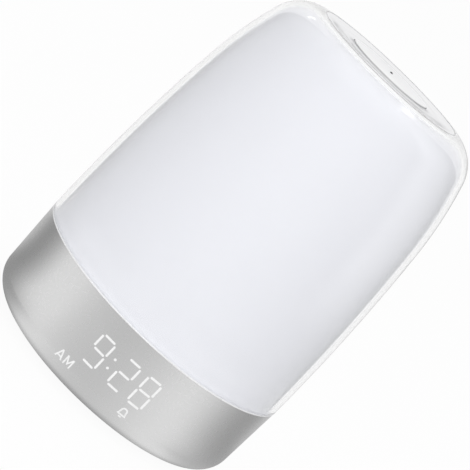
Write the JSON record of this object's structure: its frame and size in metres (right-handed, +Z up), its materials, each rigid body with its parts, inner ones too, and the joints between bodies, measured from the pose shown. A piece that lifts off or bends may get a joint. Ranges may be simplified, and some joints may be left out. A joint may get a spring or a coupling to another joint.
{
  "type": "sunrise alarm clock",
  "caption": "Wake-up light alarm clock: clear cover over a milky lamp shade, press button in the top, satin silver base with a hidden digital display and rear setting buttons.",
  "frame": {"origin": "under the middle of the feet, on the surface the clock stands on", "axes": "+Z up along the clock's axis; the display faces -Y, the setting buttons and the power inlet face +Y, +X to the right of someone who reads the display"},
  "size_m": [0.124, 0.1245, 0.1725],
  "materials": {
    "satin_silver": "satin",
    "seam_white": "gloss",
    "clear_cover": "clear gloss",
    "milky_shade": "translucent matte",
    "dish_white": "gloss",
    "button_white": "satin",
    "inner_white": "matte",
    "under_grey": "matte",
    "foot_rubber": "matte",
    "lit_white": "lit",
    "rear_silver": "satin",
    "black_plastic": "satin",
    "lens_black": "gloss",
    "board_green": "solder mask",
    "board_white": "solder mask",
    "led_warm": "gloss",
    "led_cool": "gloss",
    "can_sleeve": "gloss",
    "cell_steel": "brushed",
    "screw_steel": "zinc plated",
    "contact_metal": "polished",
    "magnet_steel": "plated",
    "basket_paint": "satin",
    "cone_paper": "matte",
    "lead_grey": "matte",
    "lead_red": "matte"
  },
  "bodies": {
    "clock": {"base_shell": "satin_silver", "seam_ring": "seam_white", "bottom_cover": "under_grey", "rubber_feet": "foot_rubber", "cover_screws": "screw_steel", "chassis": "inner_white", "outer_cover": "clear_cover", "inner_diffuser": "milky_shade", "top_dish": "dish_white", "top_switches": "black_plastic", "light_sensor": "lens_black", "top_board": "board_green", "top_board_screws": "screw_steel", "switch_carrier": "inner_white", "column": "inner_white", "column_screws": "screw_steel", "top_lead": "lead_grey", "led_board": "board_white", "led_board_screws": "screw_steel", "warm_leds": "led_warm", "white_leds": "led_cool", "led_lead": "lead_red", "main_board": "board_green", "main_board_screws": "screw_steel", "main_chips": "black_plastic", "capacitors": "can_sleeve", "cell_holder": "black_plastic", "coin_cell": "cell_steel", "display_header": "black_plastic", "display_board": "board_green", "display_leds": "led_cool", "display_mask": "black_plastic", "display_screws": "screw_steel", "time_digits": "lit_white", "am_mark": "lit_white", "alarm_mark": "lit_white", "rear_board": "board_green", "rear_switches": "black_plastic", "rear_header": "black_plastic", "dc_jack": "black_plastic", "dc_jack_pin": "contact_metal", "speaker_basket": "basket_paint", "speaker_cone": "cone_paper", "speaker_magnet": "magnet_steel", "speaker_leads": "lead_red"},
    "top_press": {"top_button": "button_white", "sensor_lens": "lens_black", "top_plungers": "black_plastic"},
    "minus_press": {"button_minus": "rear_silver", "plunger_minus": "black_plastic"},
    "alarm_press": {"button_alarm": "rear_silver", "plunger_alarm": "black_plastic"},
    "set_press": {"button_set": "rear_silver", "plunger_set": "black_plastic"},
    "light_press": {"button_light": "rear_silver", "plunger_light": "black_plastic"},
    "plus_press": {"button_plus": "rear_silver", "plunger_plus": "black_plastic"}
  },
  "joints": [
    {"name": "top_slide", "type": "slide", "parent": "clock", "child": "top_press", "axis": [0, 0, -1], "range_m": [0, 0.0008], "stiffness_N_per_m": 1500, "springref_m": -0.0003},
    {"name": "minus_slide", "type": "slide", "parent": "clock", "child": "minus_press", "axis": [0, -1, 0], "range_m": [0, 0.0006], "stiffness_N_per_m": 2000, "springref_m": -0.0002},
    {"name": "alarm_slide", "type": "slide", "parent": "clock", "child": "alarm_press", "axis": [0, -1, 0], "range_m": [0, 0.0006], "stiffness_N_per_m": 2000, "springref_m": -0.0002},
    {"name": "set_slide", "type": "slide", "parent": "clock", "child": "set_press", "axis": [0, -1, 0], "range_m": [0, 0.0006], "stiffness_N_per_m": 2000, "springref_m": -0.0002},
    {"name": "light_slide", "type": "slide", "parent": "clock", "child": "light_press", "axis": [0, -1, 0], "range_m": [0, 0.0006], "stiffness_N_per_m": 2000, "springref_m": -0.0002},
    {"name": "plus_slide", "type": "slide", "parent": "clock", "child": "plus_press", "axis": [0, -1, 0], "range_m": [0, 0.0006], "stiffness_N_per_m": 2000, "springref_m": -0.0002}
  ]
}
